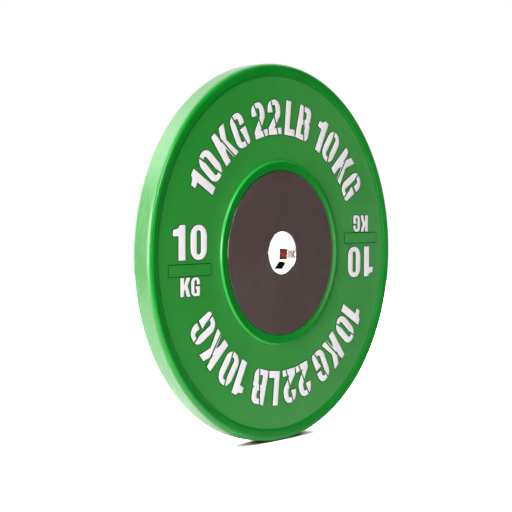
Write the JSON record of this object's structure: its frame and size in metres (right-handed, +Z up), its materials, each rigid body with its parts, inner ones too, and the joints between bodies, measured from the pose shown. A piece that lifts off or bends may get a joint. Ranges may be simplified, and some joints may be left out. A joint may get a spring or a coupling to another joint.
{
  "type": "olympic weight plate",
  "caption": "Round rubber weight plate with a raised rim, a sunk face and a bolted steel hub with a plain bore.",
  "frame": {"origin": "on the bore axis, half way through the plate's thickness", "axes": "+Z up with the plate standing on its tread, +Y along the bore axis from the front face to the rear face, +X across the plate"},
  "size_m": [0.45, 0.027, 0.45],
  "materials": {
    "green_rubber": "satin",
    "dark_plate": "satin",
    "bright_steel": "polished",
    "raw_steel": "machined",
    "screw_steel": "blackened"
  },
  "bodies": {
    "root": {"rubber_body": "green_rubber", "core_ring": "raw_steel", "front_disc": "dark_plate", "rear_disc": "dark_plate", "front_bush": "bright_steel", "rear_bush": "bright_steel", "hub_screw_1": "screw_steel", "hub_screw_2": "screw_steel", "hub_screw_3": "screw_steel", "hub_screw_4": "screw_steel", "hub_screw_5": "screw_steel", "hub_screw_6": "screw_steel", "hub_screw_7": "screw_steel", "hub_screw_8": "screw_steel", "calibration_plug_1": "screw_steel", "calibration_plug_2": "screw_steel", "calibration_weight_1": "raw_steel", "calibration_weight_2": "raw_steel"}
  },
  "joints": []
}
